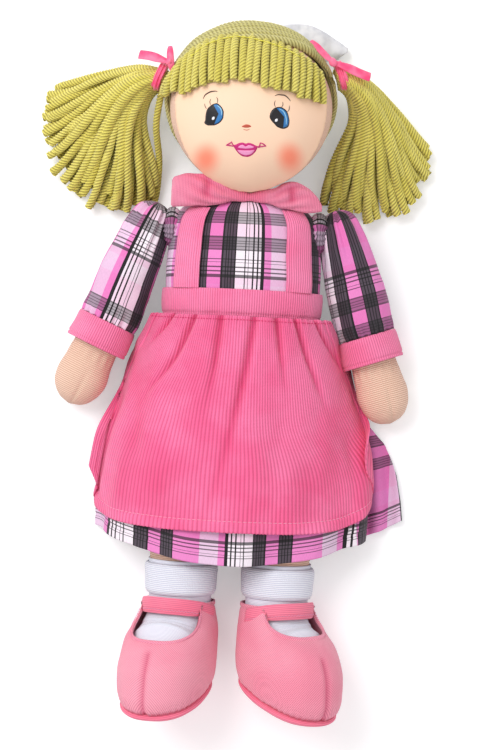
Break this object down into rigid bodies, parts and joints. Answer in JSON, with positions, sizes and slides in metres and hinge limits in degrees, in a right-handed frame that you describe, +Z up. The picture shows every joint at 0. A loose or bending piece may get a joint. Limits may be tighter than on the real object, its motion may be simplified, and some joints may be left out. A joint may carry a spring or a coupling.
{
  "type": "rag doll",
  "caption": "Stuffed rag doll lying on its back, with yarn hair in two pigtails, a plaid dress, a pleated apron, socks and soft strapped shoes.",
  "frame": {"origin": "on the surface that the doll lies on, at the middle of the back of its skirt", "axes": "+Y towards the head, +X to the right as seen from above, +Z up out of the chest"},
  "size_m": [0.2639, 0.4523, 0.0997],
  "materials": {
    "skin": "plain woven cotton over soft filling",
    "yarn": "matted synthetic yarn",
    "plaid": "thin woven plaid dress cloth",
    "pink_cord": "fine ribbed cotton",
    "pink_felt": "soft ribbed jersey over padding",
    "white_knit": "white knitted jersey",
    "pink_satin": "satin ribbon",
    "white_satin": "white woven tape"
  },
  "bodies": {
    "torso": {"torso": "skin", "bodice": "plaid", "apron_band": "pink_cord", "apron_strap_left": "pink_cord", "apron_strap_right": "pink_cord"},
    "neck": {"neck": "skin", "collar_left": "pink_cord", "collar_right": "pink_cord"},
    "head": {"head": "skin", "face_panel": "skin", "hair_cap": "yarn", "fringe": "yarn", "head_tape": "white_satin"},
    "hips": {"hip_seam": "skin", "skirt_front": "plaid", "skirt_back": "plaid", "apron_panel": "pink_cord"},
    "pigtail_left": {"pigtail_left": "yarn", "hair_tie_left": "pink_satin", "ribbon_left": "pink_satin"},
    "arm_tab_left": {"arm_tab_left": "skin"},
    "arm_left": {"arm_left": "skin", "sleeve_left": "plaid", "sleeve_cuff_left": "pink_cord"},
    "leg_left": {"leg_left": "skin", "sock_left": "white_knit", "sock_cuff_left": "white_knit", "shoe_upper_left": "pink_felt", "shoe_strap_left": "pink_felt", "shoe_sole_left": "pink_felt"},
    "pigtail_right": {"pigtail_right": "yarn", "hair_tie_right": "pink_satin", "ribbon_right": "pink_satin"},
    "arm_tab_right": {"arm_tab_right": "skin"},
    "arm_right": {"arm_right": "skin", "sleeve_right": "plaid", "sleeve_cuff_right": "pink_cord"},
    "leg_right": {"leg_right": "skin", "sock_right": "white_knit", "sock_cuff_right": "white_knit", "shoe_upper_right": "pink_felt", "shoe_strap_right": "pink_felt", "shoe_sole_right": "pink_felt"}
  },
  "joints": [
    {"name": "neck_nod", "type": "hinge", "parent": "torso", "child": "neck", "pos_m": [0, 0.116, 0.038], "axis": [1, 0, 0], "range_deg": [-15, 25], "deforming": ["neck", "collar_left", "collar_right"]},
    {"name": "head_turn", "type": "hinge", "parent": "neck", "child": "head", "pos_m": [0, 0.121, 0.049], "axis": [0, 1, 0], "range_deg": [-40, 40]},
    {"name": "hip_fold", "type": "hinge", "parent": "torso", "child": "hips", "pos_m": [0, -0.0142, 0.03], "axis": [-1, 0, 0], "range_deg": [0, 90], "deforming": ["skirt_front", "skirt_back", "apron_panel"]},
    {"name": "pigtail_swing_left", "type": "hinge", "parent": "head", "child": "pigtail_left", "pos_m": [-0.0559, 0.1884, 0.049], "axis": [-0.9313, 0.3641, 0], "range_deg": [0, 60]},
    {"name": "arm_raise_left", "type": "hinge", "parent": "torso", "child": "arm_tab_left", "pos_m": [-0.06, 0.096, 0.031], "axis": [-1, 0, 0], "range_deg": [-30, 110], "deforming": ["sleeve_left"]},
    {"name": "arm_spread_left", "type": "hinge", "parent": "arm_tab_left", "child": "arm_left", "pos_m": [-0.06, 0.096, 0.031], "axis": [0, 0, -1], "range_deg": [-5, 50], "deforming": ["sleeve_left"]},
    {"name": "leg_splay_left", "type": "hinge", "parent": "hips", "child": "leg_left", "pos_m": [-0.032, -0.032, 0.0239], "axis": [0, 0, -1], "range_deg": [0, 12]},
    {"name": "pigtail_swing_right", "type": "hinge", "parent": "head", "child": "pigtail_right", "pos_m": [0.0535, 0.1943, 0.049], "axis": [-0.892, -0.452, 0], "range_deg": [0, 60]},
    {"name": "arm_raise_right", "type": "hinge", "parent": "torso", "child": "arm_tab_right", "pos_m": [0.06, 0.096, 0.031], "axis": [-1, 0, 0], "range_deg": [-30, 110], "deforming": ["sleeve_right"]},
    {"name": "arm_spread_right", "type": "hinge", "parent": "arm_tab_right", "child": "arm_right", "pos_m": [0.06, 0.096, 0.031], "axis": [0, 0, 1], "range_deg": [-5, 50], "deforming": ["sleeve_right"]},
    {"name": "leg_splay_right", "type": "hinge", "parent": "hips", "child": "leg_right", "pos_m": [0.032, -0.032, 0.0239], "axis": [0, 0, 1], "range_deg": [0, 12]}
  ]
}
